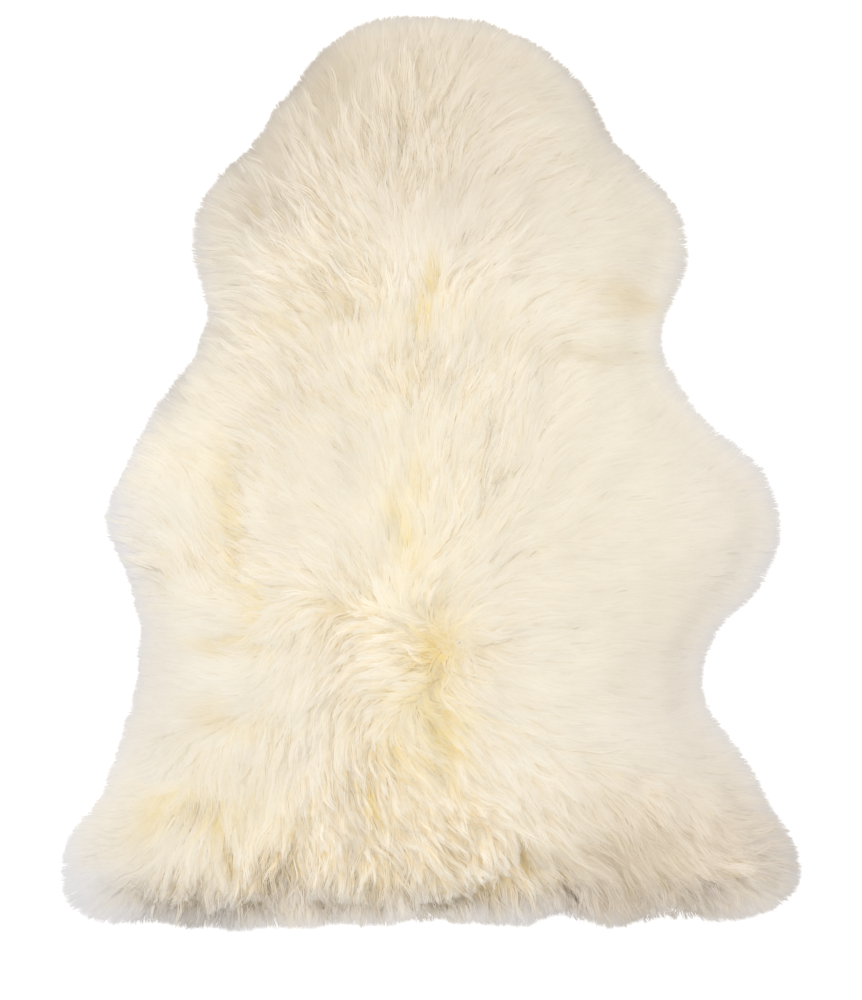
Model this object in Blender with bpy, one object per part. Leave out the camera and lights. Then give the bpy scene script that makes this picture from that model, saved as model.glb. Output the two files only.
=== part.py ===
# Sheepskin rug: one tanned pelt laid flat, wool side up.
# The pelt is one solid. Its top is the lumpy surface of the combed wool, its underside is
# the flat leather, and tapered locks stand out from its rim and lie down on the floor.
# Metres, +Z up, +Y towards the head end. The origin is under the middle of the rug.

import math
import random

import bmesh
import bpy
import numpy as np
from mathutils import Matrix, Vector, geometry, noise

MM = 0.001

# Sizes over the whole pelt
CROWN_HEIGHT = 46 * MM      # top of the lying wool over the middle of the back
RIM_HEIGHT = 15 * MM        # thickness of the wool where the locks leave the rim
SHOULDER_WIDTH = 75 * MM    # how far in from the rim the wool takes to reach its full height
LOCK_REACH = 27 * MM        # how far the locks stand out past the slab
LOCK_COUNT = 232
TOP_SPACING = 14.5 * MM     # between points of the woolly top
UNDERSIDE_SPACING = 60 * MM

# Lie of the wool: it is combed away from the whorl over the loins
WHORL = Vector((-10 * MM, -150 * MM))

# Wool outline seen from above, clockwise from the head end, in millimetres
OUTLINE = (
    # place, x, y
    ("head end", 0, 474),
    ("head end", 54, 468),
    ("right of neck", 106, 446),
    ("right of neck", 153, 405),
    ("right cheek", 180, 356),
    ("right foreleg", 214, 322),
    ("right foreleg", 245, 293),
    ("right foreleg", 264, 257),
    ("right foreleg", 265, 221),
    ("right elbow", 250, 182),
    ("right elbow", 238, 142),
    ("right flank", 246, 106),
    ("right flank", 270, 70),
    ("right flank", 310, 32),
    ("right belly", 344, -2),
    ("right belly", 360, -45),
    ("right belly", 355, -87),
    ("right belly", 332, -133),
    ("right stifle", 294, -173),
    ("right stifle", 280, -213),
    ("right stifle", 294, -253),
    ("right thigh", 323, -295),
    ("right thigh", 354, -343),
    ("right hind leg", 377, -391),
    ("right hind leg", 384, -424),
    ("right hind leg", 368, -450),
    ("right hind leg", 330, -465),
    ("rump", 240, -469),
    ("rump", 140, -469),
    ("rump", 40, -470),
    ("rump", -60, -472),
    ("rump", -150, -473),
    ("rump", -240, -471),
    ("left hind leg", -326, -464),
    ("left hind leg", -365, -450),
    ("left hind leg", -384, -412),
    ("left hind leg", -372, -373),
    ("left thigh", -343, -336),
    ("left thigh", -321, -280),
    ("left stifle", -307, -220),
    ("left stifle", -302, -153),
    ("left belly", -317, -110),
    ("left belly", -335, -60),
    ("left belly", -329, -16),
    ("left flank", -302, 38),
    ("left flank", -268, 88),
    ("left elbow", -238, 134),
    ("left elbow", -231, 170),
    ("left foreleg", -243, 211),
    ("left foreleg", -245, 252),
    ("left foreleg", -229, 290),
    ("left cheek", -195, 333),
    ("left cheek", -165, 367),
    ("left of neck", -138, 405),
    ("left of neck", -108, 445),
    ("head end", -61, 468),
)

# Scallops of the rump edge: the locks are longer (+) or shorter (-) there, in millimetres
SCALLOPS = (
    # x, half width, reach
    (-95, 30, -4),
    (-48, 26, 4),
    (-8, 20, -6),
    (95, 26, 3),
    (137, 20, -10),
    (200, 30, 4),
    (248, 18, -8),
)

# Soft troughs of the woolly top, in millimetres: each runs between two points
TROUGHS = (
    # place, x1, y1, x2, y2, half width, depth
    ("parting over the neck", -26, 330, -18, 170, 16, 4),
    ("parting over the shoulders", -2, 172, -8, 120, 13, 10),
    ("parting over the back", -12, 110, -24, -70, 15, 6),
    ("parting over the loins", -22, -10, -26, -55, 12, 7),
    ("parting at the whorl", 2, -150, 22, -208, 15, 11),
    ("parting over the rump", 14, -215, 26, -300, 15, 9),
    ("fold behind the rump", -72, -300, -60, -395, 14, 10),
    ("fold by the left thigh", -175, -275, -165, -395, 16, 7),
    ("crease across the shoulders", -215, 156, -40, 148, 18, 6),
    ("hollow of the left flank", -205, -25, -190, -120, 20, 6),
    ("edge of the rump wool", 45, -432, 120, -408, 13, 10),
    ("notch of the rump wool", 128, -412, 140, -442, 12, 9),
)

# Lumps of the wool, stretched along its lie
LUMP_LENGTH = 75 * MM
LUMPS_ROUND_WHORL = 9       # lumps in each radian round the whorl
LUMP_HEIGHT = 9 * MM
TUFT_SIZE = 38 * MM
TUFT_HEIGHT = 7 * MM

# Sections of a lock, from its root to its tip
LOCK_SECTIONS = (
    # share of the reach, share of the root's width, height
    (0.52, 0.80, 10 * MM),
    (1.00, 0.28, 2.5 * MM),
)
SHORTEST_LOCK = 0.84        # share of the full reach
LONGEST_LOCK = 1.04
LOCK_SWAY = math.radians(4)
LIE_SHARE = 0.45            # how far a lock turns from straight outwards to the wool's lie

WOOL_IVORY = (0.88, 0.82, 0.68, 1.0)


def clear_scene():
    for obj in list(bpy.data.objects):
        bpy.data.objects.remove(obj, do_unlink=True)


def new_collection(name):
    collection = bpy.data.collections.new(name)
    bpy.context.scene.collection.children.link(collection)
    return collection


def wool_material():
    material = bpy.data.materials.new("ivory_wool")
    material.use_nodes = True
    shader = material.node_tree.nodes["Principled BSDF"]
    shader.inputs["Base Color"].default_value = WOOL_IVORY
    shader.inputs["Roughness"].default_value = 0.9
    shader.inputs["Metallic"].default_value = 0.0
    return material


def smooth_closed_curve(points, steps):
    """Points on a smooth closed curve through the given ones."""
    curve = []
    count = len(points)
    for i in range(count):
        before, start = points[i - 1], points[i]
        end, after = points[(i + 1) % count], points[(i + 2) % count]
        for step in range(steps):
            t = step / steps
            curve.append(
                0.5 * (2 * start + t * (end - before)
                       + t**2 * (2 * before - 5 * start + 4 * end - after)
                       + t**3 * (3 * start - before - 3 * end + after))
            )
    return curve


def evenly_spaced(curve, count):
    """The closed curve as this many points at equal distances along it."""
    points = np.array([tuple(p) for p in curve] + [tuple(curve[0])])
    along = np.concatenate([[0], np.cumsum(np.linalg.norm(np.diff(points, axis=0), axis=1))])
    places = np.linspace(0, along[-1], count, endpoint=False)
    return np.column_stack([np.interp(places, along, points[:, axis]) for axis in (0, 1)])


def smoothed(ring, rounds):
    for _ in range(rounds):
        ring = 0.5 * ring + 0.25 * (np.roll(ring, 1, axis=0) + np.roll(ring, -1, axis=0))
    return ring


def outward_normals(ring):
    """Unit normals of a clockwise ring, evened out along it."""
    along = np.roll(ring, -1, axis=0) - np.roll(ring, 1, axis=0)
    normals = smoothed(np.column_stack([-along[:, 1], along[:, 0]]), 6)
    return normals / np.linalg.norm(normals, axis=1)[:, None]


def scallop(x, y):
    """Extra reach of a lock that leaves the rump edge here."""
    if y > -400 * MM:
        return 0.0
    return sum(
        reach * MM * math.exp(-(((x / MM - place) / half_width) ** 2))
        for place, half_width, reach in SCALLOPS
    )


def slab_ring():
    """The slab's edge, one point for each gap between locks."""
    rim = evenly_spaced(
        smooth_closed_curve([Vector((x, y)) * MM for _, x, y in OUTLINE], 12), LOCK_COUNT
    )
    return smoothed(rim - outward_normals(rim) * LOCK_REACH, 2)


def distance_to_ring(points, ring):
    """How far each point lies from the ring's nearest side."""
    nearest = np.full(len(points), np.inf)
    for start, end in zip(ring, np.roll(ring, -1, axis=0)):
        side = end - start
        share = np.clip((points - start) @ side / (side @ side), 0, 1)
        offset = points - (start + share[:, None] * side)
        nearest = np.minimum(nearest, np.linalg.norm(offset, axis=1))
    return nearest


def inside_ring(points, ring):
    """Which points lie inside the ring, by the sides that a line towards +X crosses."""
    crossed = np.zeros(len(points), bool)
    for start, end in zip(ring, np.roll(ring, -1, axis=0)):
        level = (start[1] > points[:, 1]) != (end[1] > points[:, 1])
        slope = (end[0] - start[0]) / (end[1] - start[1] or 1)
        crossed ^= level & (points[:, 0] < start[0] + (points[:, 1] - start[1]) * slope)
    return crossed


def filled(ring, spacing):
    """Triangles over the ring's inside, on a staggered grid: (points, faces, distances)."""
    low, high = ring.min(axis=0), ring.max(axis=0)
    row_step = spacing * math.sqrt(3) / 2
    grid = []
    for row in range(int((high[1] - low[1]) / row_step) + 1):
        shift = spacing / 2 * (row % 2)
        for column in range(int((high[0] - low[0]) / spacing) + 2):
            grid.append((low[0] + column * spacing + shift, low[1] + row * row_step))
    grid = np.array(grid)
    grid = grid[inside_ring(grid, ring) & (distance_to_ring(grid, ring) > 0.6 * spacing)]
    edge = list(range(len(ring)))[::-1]
    points = [Vector(p) for p in np.vstack([ring, grid])]
    # Option 1 keeps only the triangles inside the ring
    made = geometry.delaunay_2d_cdt(points, [], [edge], 1, 1e-6)
    flat = np.array([tuple(p) for p in made[0]])
    return flat, made[2], distance_to_ring(flat, ring)


def trough_depth(x, y):
    """How far the partings and folds lower the wool here."""
    depth = 0.0
    here = Vector((x, y)) / MM
    for _, x1, y1, x2, y2, half_width, deepest in TROUGHS:
        start, run = Vector((x1, y1)), Vector((x2 - x1, y2 - y1))
        share = min(max((here - start).dot(run) / run.length_squared, 0), 1)
        away = (here - start - share * run).length / half_width
        depth += deepest * MM * math.exp(-(away**2))
    return depth


def wool_height(x, y, inside):
    """Height of the woolly top at a place this far inside the slab's edge."""
    roll = 1 - min(inside / SHOULDER_WIDTH, 1)
    shoulder = math.sqrt(1 - roll**2)
    from_whorl = Vector((x, y)) - WHORL
    turn = math.atan2(from_whorl.y, from_whorl.x)
    lumps = LUMP_HEIGHT * noise.noise(
        Vector((from_whorl.length / LUMP_LENGTH, math.cos(turn) * LUMPS_ROUND_WHORL,
                math.sin(turn) * LUMPS_ROUND_WHORL))
    )
    tufts = TUFT_HEIGHT * noise.noise(Vector((x / TUFT_SIZE, y / TUFT_SIZE, 5.0)))
    relief = lumps + tufts - trough_depth(x, y)
    return RIM_HEIGHT + (CROWN_HEIGHT - RIM_HEIGHT) * shoulder + relief * (0.25 + 0.75 * shoulder)


def lock_directions(ring, normals):
    """The way each lock points: outwards, turned some way to the lie of the wool."""
    rng = random.Random(19)
    directions = []
    for place, normal in zip(ring, normals):
        lie = (Vector(place) - WHORL).normalized()
        way = Vector(normal).lerp(lie, LIE_SHARE).normalized()
        way.rotate(Matrix.Rotation(rng.uniform(-LOCK_SWAY, LOCK_SWAY), 2))
        directions.append(way)
    return directions


def grow_locks(bm, number, rim_faces, ring):
    """Draws each rim face out into a tapered lock that lies down on the floor."""
    rng = random.Random(43)
    middles = 0.5 * (ring + np.roll(ring, -1, axis=0))
    normals = outward_normals(middles)
    directions = lock_directions(middles, normals)
    roots = []
    for i, middle in enumerate(middles):
        way = directions[i]
        facing = way.dot(Vector(normals[i]))
        width = np.linalg.norm(ring[(i + 1) % len(ring)] - ring[i]) * facing
        reach = LOCK_REACH * rng.uniform(SHORTEST_LOCK, LONGEST_LOCK)
        reach += scallop(*(middle + normals[i] * LOCK_REACH))
        roots.append((Vector(middle), way, width, reach / facing))
    for i, face in enumerate(rim_faces):
        face[number] = i
    faces = rim_faces
    for reach_share, width_share, height in LOCK_SECTIONS:
        faces = bmesh.ops.extrude_discrete_faces(bm, faces=faces)["faces"]
        faces.sort(key=lambda face: face[number])
        for face, (middle, way, width, reach) in zip(faces, roots):
            across = Vector((-way.y, way.x)) * width / 2 * width_share
            heart = face.calc_center_median()
            for vert in face.verts:
                left = (vert.co.xy - heart.xy).dot(across) > 0
                place = middle + way * reach * reach_share + (across if left else -across)
                above = vert.co.z > heart.z
                vert.co = (*place, height * rng.uniform(0.9, 1.1) if above else 0.0)


def build_pelt(collection):
    ring = slab_ring()
    flat, faces, inside = filled(ring, TOP_SPACING)
    under, under_faces, _ = filled(ring, UNDERSIDE_SPACING)
    bm = bmesh.new()
    number = bm.faces.layers.int.new("lock")
    top = [bm.verts.new((x, y, wool_height(x, y, d))) for (x, y), d in zip(flat, inside)]
    bottom = [bm.verts.new((x, y, 0.0)) for x, y in under]
    for face in faces:
        bm.faces.new([top[i] for i in face])
    for face in under_faces:
        bm.faces.new([bottom[i] for i in reversed(face)])
    count = len(ring)
    rim_faces = [
        bm.faces.new([top[i], top[(i + 1) % count], bottom[(i + 1) % count], bottom[i]])
        for i in range(count)
    ]
    grow_locks(bm, number, rim_faces, ring)
    bmesh.ops.recalc_face_normals(bm, faces=bm.faces)
    centre_on_origin(bm)
    mesh = bpy.data.meshes.new("sheepskin")
    bm.to_mesh(mesh)
    bm.free()
    mesh.shade_smooth()
    mesh.set_sharp_from_angle(angle=math.radians(50))
    pelt = bpy.data.objects.new("sheepskin", mesh)
    pelt.data.materials.append(wool_material())
    collection.objects.link(pelt)
    return pelt


def centre_on_origin(bm):
    """Moves the pelt over the floor until the middle of its box is on the origin."""
    low = [min(vert.co[axis] for vert in bm.verts) for axis in (0, 1)]
    high = [max(vert.co[axis] for vert in bm.verts) for axis in (0, 1)]
    shift = Vector((-(low[0] + high[0]) / 2, -(low[1] + high[1]) / 2, 0.0))
    bmesh.ops.translate(bm, vec=shift, verts=bm.verts)


clear_scene()
build_pelt(new_collection("sheepskin_rug"))
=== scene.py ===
# Sheepskin rug: one tanned pelt laid flat, with its long combed wool upwards.
# The wool is made of tapered strands that follow the comb, over a dense undercoat.
import math

import bpy
import numpy as np
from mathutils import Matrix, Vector, geometry
from mathutils.bvhtree import BVHTree
from mathutils.kdtree import KDTree


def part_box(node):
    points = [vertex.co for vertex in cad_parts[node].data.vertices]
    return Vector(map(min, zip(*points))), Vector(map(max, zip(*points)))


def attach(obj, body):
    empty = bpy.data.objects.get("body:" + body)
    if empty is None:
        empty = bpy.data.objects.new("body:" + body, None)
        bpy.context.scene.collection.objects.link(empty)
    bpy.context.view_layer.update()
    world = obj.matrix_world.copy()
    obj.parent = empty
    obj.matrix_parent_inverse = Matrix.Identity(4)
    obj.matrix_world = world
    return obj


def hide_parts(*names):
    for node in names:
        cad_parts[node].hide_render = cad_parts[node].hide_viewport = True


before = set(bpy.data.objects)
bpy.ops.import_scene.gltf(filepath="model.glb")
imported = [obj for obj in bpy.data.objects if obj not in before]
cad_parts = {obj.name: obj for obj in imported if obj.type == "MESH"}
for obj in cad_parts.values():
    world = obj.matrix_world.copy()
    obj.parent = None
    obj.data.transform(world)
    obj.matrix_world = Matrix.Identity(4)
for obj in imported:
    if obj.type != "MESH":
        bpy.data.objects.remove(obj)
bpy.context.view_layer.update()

mm = 0.001
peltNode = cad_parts["sheepskin"]
peltLow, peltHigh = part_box("sheepskin")
print("frame loaded, the pelt measures", [round(v, 3) for v in peltHigh - peltLow])


# the pelt as fields over the floor: height of the wool, distance in from the rim

fields = {
    "step": 3 * mm,
    "margin": 42 * mm,
    "slabHeight": 13.5 * mm,      # the solid is at least this high inside its rim of locks
    "rimHeight": 15 * mm,         # wool height where it starts to hang over the rim
    "overhang": 27 * mm,          # how far the wool reaches past that
    "hangShare": 1.15,            # its surface would meet the floor at this share of the overhang
    "hangCurve": 0.8,             # under 1, the hanging wool bulges
    "soften": 5 * mm,             # evens out the solid's facets
    "rayHeight": 1.0,             # rays fall on the solid from here
}


def spread(grid, width):
    # soft blur of a grid, by the width of a bell curve in metres
    cells = width / fields["step"]
    reach = int(3 * cells) + 1
    bell = np.exp(-0.5 * (np.arange(-reach, reach + 1) / cells) ** 2)
    bell /= bell.sum()
    for axis in (0, 1):
        padded = np.pad(grid, [(reach, reach) if a == axis else (0, 0) for a in (0, 1)], mode="edge")
        grid = np.apply_along_axis(lambda row: np.convolve(row, bell, mode="valid"), axis, padded)
    return grid


def makeFields():
    step, margin = fields["step"], fields["margin"]
    xs = np.arange(peltLow.x - margin, peltHigh.x + margin, step)
    ys = np.arange(peltLow.y - margin, peltHigh.y + margin, step)
    polygons = [tuple(p.vertices) for p in peltNode.data.polygons]
    solid = BVHTree.FromPolygons([v.co for v in peltNode.data.vertices], polygons)
    top = np.zeros((len(xs), len(ys)))
    down = Vector((0, 0, -1))
    for i, x in enumerate(xs):
        for j, y in enumerate(ys):
            hit = solid.ray_cast(Vector((x, y, fields["rayHeight"])), down)[0]
            top[i, j] = hit.z if hit else 0.0
    slab = top > fields["slabHeight"]

    # signed distance to the slab's edge, positive inside
    edge = np.zeros_like(slab)
    for shift in (1, -1):
        edge |= slab & ~np.roll(slab, shift, axis=0)
        edge |= slab & ~np.roll(slab, shift, axis=1)
    edgeCells = np.argwhere(edge)
    tree = KDTree(len(edgeCells))
    for number, (i, j) in enumerate(edgeCells):
        tree.insert((xs[i], ys[j], 0), number)
    tree.balance()
    inside = np.zeros_like(top)
    for i, x in enumerate(xs):
        for j, y in enumerate(ys):
            away = tree.find((x, y, 0))[2]
            inside[i, j] = away if slab[i, j] else -away
    inside = spread(inside, fields["soften"])

    hanging = np.clip(1 + inside / (fields["overhang"] * fields["hangShare"]), 0, 1) ** fields["hangCurve"]
    height = np.where(slab, top, fields["rimHeight"] * hanging)
    height = spread(height, fields["soften"])
    outX, outY = np.gradient(-inside, step)
    size = np.hypot(outX, outY) + 1e-9
    slopeX, slopeY = np.gradient(height, step)
    return {"xs": xs, "ys": ys, "height": height, "inside": inside, "slopeX": slopeX,
            "slopeY": slopeY, "outX": outX / size, "outY": outY / size}


grids = makeFields()
floorX, floorY = np.meshgrid(grids["xs"], grids["ys"], indexing="ij")
print("fields measured on the pelt")


def swells(rng, size):
    # a random field whose swells are about this size, with a spread of 1
    field = spread(rng.normal(0, 1, floorX.shape), size)
    return field / field.std()


def look(name, x, y):
    # a field's value at each place, evened between the grid's cells
    grid, xs, ys = grids[name], grids["xs"], grids["ys"]
    u = np.clip((x - xs[0]) / fields["step"], 0, len(xs) - 1.001)
    v = np.clip((y - ys[0]) / fields["step"], 0, len(ys) - 1.001)
    i, j = u.astype(int), v.astype(int)
    a, b = u - i, v - j
    return (grid[i, j] * (1 - a) * (1 - b) + grid[i + 1, j] * a * (1 - b)
            + grid[i, j + 1] * (1 - a) * b + grid[i + 1, j + 1] * a * b)


def upFrom(low, share):
    # low where the share is 0, and 1 where it is 1
    return low + (1 - low) * share


# where the wool reaches further past its hide than elsewhere, or less far, in millimetres
reachRows = [
    # place, x, y, half size, further
    ("left foreleg's tip", -238, 238, 34, 9),
    ("notch behind the head", -186, 352, 26, -11),
    ("right of head", 165, 390, 34, 3),
    ("head end", -10, 486, 60, -3),
    ("head end's left corner", -92, 457, 26, -4),
    ("head end's right corner", 82, 457, 26, -5),
    ("right cheek", 202, 333, 24, -6),
    ("right foreleg", 258, 200, 36, 9),
    ("right flank", 255, 95, 30, 6),
    ("right flank", 318, 28, 34, 3),
    ("right belly", 345, -95, 46, 7),
    ("right belly", 350, -20, 30, 4),
    ("left belly's tip", -332, -58, 24, 6),
    ("left stifle", -322, -108, 24, -5),
    ("left flank", -314, 4, 34, -6),
    ("left flank", -280, 62, 16, 5),
    ("left shoulder", -242, 126, 24, -4),
    ("left thigh", -310, -180, 90, -4),
    ("left hind leg's corner", -366, -452, 30, 10),
    ("left rump edge", -310, -460, 34, 7),
    ("right hind leg's corner", 362, -446, 26, -9),
    ("rump edge's notch", -6, -470, 22, -20),
    ("rump edge's notch", 142, -466, 24, -17),
    ("rump edge's notch", 244, -466, 28, -27),
    ("rump edge's bulge", 98, -466, 14, 6),
    ("right hind leg", 352, -420, 26, 4),
    ("right thigh", 288, -238, 32, -4),
    ("left hind leg", -346, -338, 24, -6),
    ("left rump edge", -100, -470, 22, -6),
]


# steps where tufts lie over lower wool, in millimetres. Going along the points,
# the tufts come from the left and end at the line
creaseRows = [
    # place, rise of the tufts, drop past them, stray of the line, share of locks that end, points
    ("left rump's tufts", 2.0, 3.5, 5, 0.75, [(-322, -424), (-290, -440), (-267, -437), (-243, -447),
                                              (-208, -452), (-176, -445), (-146, -450)]),
    ("rump's tufts", 2.0, 3.0, 5, 0.75, [(-130, -442), (-98, -448), (-62, -454), (-30, -448)]),
    ("fold over the rump's edge", 4.0, 5.0, 1, 0.95, [(-22, -444), (10, -443), (28, -437), (46, -427),
                                                      (64, -416), (80, -404)]),
    ("fold in the rump", 2.0, 3.0, 1, 0.95, [(93, -410), (90, -392), (93, -378), (80, -362)]),
    ("pocket by the right rump", 2.5, 6.0, 2, 0.95, [(161, -450), (145, -436), (134, -422), (124, -408)]),
    ("crease behind the left shoulder", 2.0, 2.0, 5, 0.75, [(-206, 150), (-150, 156), (-96, 158),
                                                            (-40, 150)]),
    ("crease behind the right shoulder", 1.0, 1.5, 5, 0.75, [(30, 138), (90, 130), (150, 126),
                                                             (206, 118)]),
    ("crease on the left cheek", 1.5, 2.0, 3, 0.8, [(-180, 290), (-170, 262), (-178, 236)]),
    ("fold on the left flank", 1.5, 2.5, 9, 0.6, [(-204, 43), (-193, -10), (-189, -40), (-196, -91),
                                                   (-200, -125)]),
    ("fold over the left loins", 1.5, 2.0, 5, 0.8, [(-236, -166), (-200, -176), (-160, -172)]),
]
creaseShape = {
    "tuft": 14 * mm,              # how far back from the line the tufts rise
    "hollow": 9 * mm,             # how far past it the wool lies lower
    "taper": 16 * mm,             # each crease fades out over this length at its ends
    "floor": 5.5 * mm,            # it opens no nearer to the hide than this
    "straySize": 7 * mm,          # size of the line's swings
    "range": 24 * mm,             # how far to each side a crease rules over others
    "stops": 14 * mm,             # locks nearer to it than this may end there
    "darkDrop": 5,                # a drop of this many millimetres gets full painted shade
}


# how the wool is combed, in millimetres from the middle of the rug.
# lie: which way the tips point, in degrees from +X towards +Y
# clump: 0 combed smooth, 1 in separate locks. wave: sway of the locks to each side
combRows = [
    # place, x, y, lie, clump, wave
    ("head end", -32, 446, 93, 0.55, 1.0),
    ("head end", -32, 374, 92, 0.75, 1.4),
    ("left of head", -94, 426, 102, 0.35, 0.7),
    ("left of head", -115, 374, 110, 0.6, 1.3),
    ("left cheek", -175, 291, 124, 0.5, 1.0),
    ("left cheek", -135, 302, 116, 0.55, 1.1),
    ("left foreleg", -223, 260, 140, 0.8, 1.6),
    ("left foreleg", -208, 224, 158, 0.7, 1.6),
    ("left foreleg", -213, 188, 174, 0.5, 1.2),
    ("left shoulder", -104, 209, 137, 0.7, 2.0),
    ("left shoulder", -73, 250, 124, 0.8, 2.0),
    ("neck", -32, 310, 94, 0.85, 1.6),
    ("neck", -32, 240, 96, 0.95, 1.8),
    ("withers", -32, 157, 92, 0.85, 2.0),
    ("right of head", 14, 405, 68, 0.5, 0.9),
    ("right of head", 71, 426, 48, 0.35, 0.8),
    ("right cheek", 97, 380, 34, 0.4, 0.8),
    ("right cheek", 138, 384, 6, 0.15, 0.5),
    ("right of neck", 71, 302, 48, 0.55, 1.3),
    ("right of neck", 133, 302, 38, 0.35, 1.0),
    ("right foreleg", 175, 260, 18, 0.2, 0.8),
    ("right foreleg", 216, 260, 15, 0.15, 0.8),
    ("right foreleg", 226, 209, 3, 0.15, 0.8),
    ("right elbow", 195, 157, 0, 0.15, 0.6),
    ("right shoulder", 133, 178, 20, 0.3, 1.0),
    ("right shoulder", 71, 188, 50, 0.55, 1.6),
    ("back", 20, 147, 84, 0.85, 2.0),
    ("back", 25, 74, 84, 1.0, 1.8),
    ("back", 51, 33, 74, 0.7, 1.6),
    ("right ribs", 92, 74, 58, 0.35, 1.2),
    ("right ribs", 123, 2, 42, 0.25, 1.0),
    ("right ribs", 175, 43, 22, 0.2, 0.8),
    ("right flank", 236, 43, 18, 0.05, 0.6),
    ("right flank", 278, 43, 15, 0.04, 0.5),
    ("left ribs", -187, 116, 142, 0.7, 1.5),
    ("left ribs", -104, 74, 130, 0.85, 1.8),
    ("left ribs", -135, 2, 136, 0.6, 1.6),
    ("left ribs", -218, 54, 148, 0.4, 1.4),
    ("left flank", -249, 74, 155, 0.4, 1.2),
    ("left of spine", -63, 74, 112, 0.75, 1.8),
    ("left belly", -254, -50, 102, 0.65, 1.8),
    ("left belly", -305, -50, 160, 0.35, 1.0),
    ("left belly", -177, -50, 156, 0.65, 1.8),
    ("left belly", -125, -81, 158, 0.6, 1.8),
    ("left of spine", -78, -91, 114, 0.5, 1.6),
    ("spine", -42, -70, 92, 0.5, 1.6),
    ("loins", 0, 2, 80, 0.6, 1.4),
    ("loins", 30, -101, 52, 0.5, 1.4),
    ("loins", 71, -122, 30, 0.35, 1.2),
    ("right belly", 133, -132, 8, 0.2, 0.8),
    ("right belly", 216, -132, 0, 0.1, 0.5),
    ("right belly", 319, -91, 0, 0.06, 0.4),
    ("right belly", 340, -29, 5, 0.1, 0.4),
    ("right stifle", 175, -215, 0, 0.1, 0.5),
    ("right stifle", 278, -277, -5, 0.15, 0.5),
    ("whorl", -40, -175, 165, 0.9, 1.8),
    ("whorl", -27, -205, 172, 1.1, 2.2),
    ("left thigh", -213, -215, 180, 0.1, 1.0),
    ("left thigh", -280, -190, 180, 0.08, 0.8),
    ("left loins", -125, -190, -110, 0.45, 1.6),
    ("left loins", -110, -240, -96, 0.85, 2.0),
    ("left of the whorl", -66, -232, -140, 1.1, 2.0),
    ("right loins", 61, -225, -38, 0.6, 1.8),
    ("right loins", 133, -225, -10, 0.3, 1.2),
    ("right thigh", 216, -256, -3, 0.08, 0.6),
    ("left hind leg", -280, -370, -137, 0.12, 1.2),
    ("left hind leg", -363, -422, -160, 0.15, 1.0),
    ("left hind leg", -311, -318, -145, 0.1, 1.0),
    ("left rump", -166, -391, -92, 1.15, 2.2),
    ("left rump", -218, -339, -104, 0.9, 2.0),
    ("left rump", -170, -290, -95, 0.65, 2.0),
    ("below the whorl", 8, -250, -58, 1.3, 2.0),
    ("rump", -63, -339, -56, 1.0, 1.7),
    ("left rump", -112, -352, -78, 0.9, 1.8),
    ("rump", 9, -370, -64, 1.0, 1.5),
    ("rump", 0, -295, -55, 1.3, 1.8),
    ("right rump", 92, -318, -45, 0.85, 1.8),
    ("right rump", 190, -360, -42, 1.1, 1.6),
    ("right rump", 175, -425, -45, 1.3, 1.5),
    ("right rump", 232, -384, -42, 1.2, 1.6),
    ("right rump", 278, -401, -40, 1.0, 1.6),
    ("right hind leg", 319, -339, -25, 0.5, 1.0),
    ("right hind leg", 350, -422, -18, 0.5, 0.8),
    ("rump edge", -104, -436, -90, 1.2, 1.8),
    ("rump edge", -20, -430, -78, 1.2, 1.6),
    ("rump edge", 51, -436, -66, 1.1, 1.6),
    ("rump edge", -200, -425, -96, 1.3, 1.8),
    ("rump edge", -245, -430, -104, 1.2, 1.6),
    ("rump edge", 195, -453, -50, 1.1, 1.8),
]
comb = {
    "reach": 46 * mm,             # how far each row holds
    "farWeight": 1e-4,            # a row's faint hold on places far from all rows
    "farFall": 0.15,
    "tangle": 0.35,               # below this share of agreement the ways tangle
    "swirl": 0.13,                # how far the lie strays from place to place
    "swirlSize": 14 * mm,
    "splay": 0.75,                # turn outwards at the rim
    "splayWidth": 30 * mm,
    "patchSize": 22 * mm,         # places that are brushed out fluffier than others
    "patchMiddle": 0.88,
    "patchSpread": 0.25,
    "fringeWidth": 34 * mm,       # the rim's fringe is too short to draw together into locks
    "fringeClump": 0.4,
}


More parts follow.
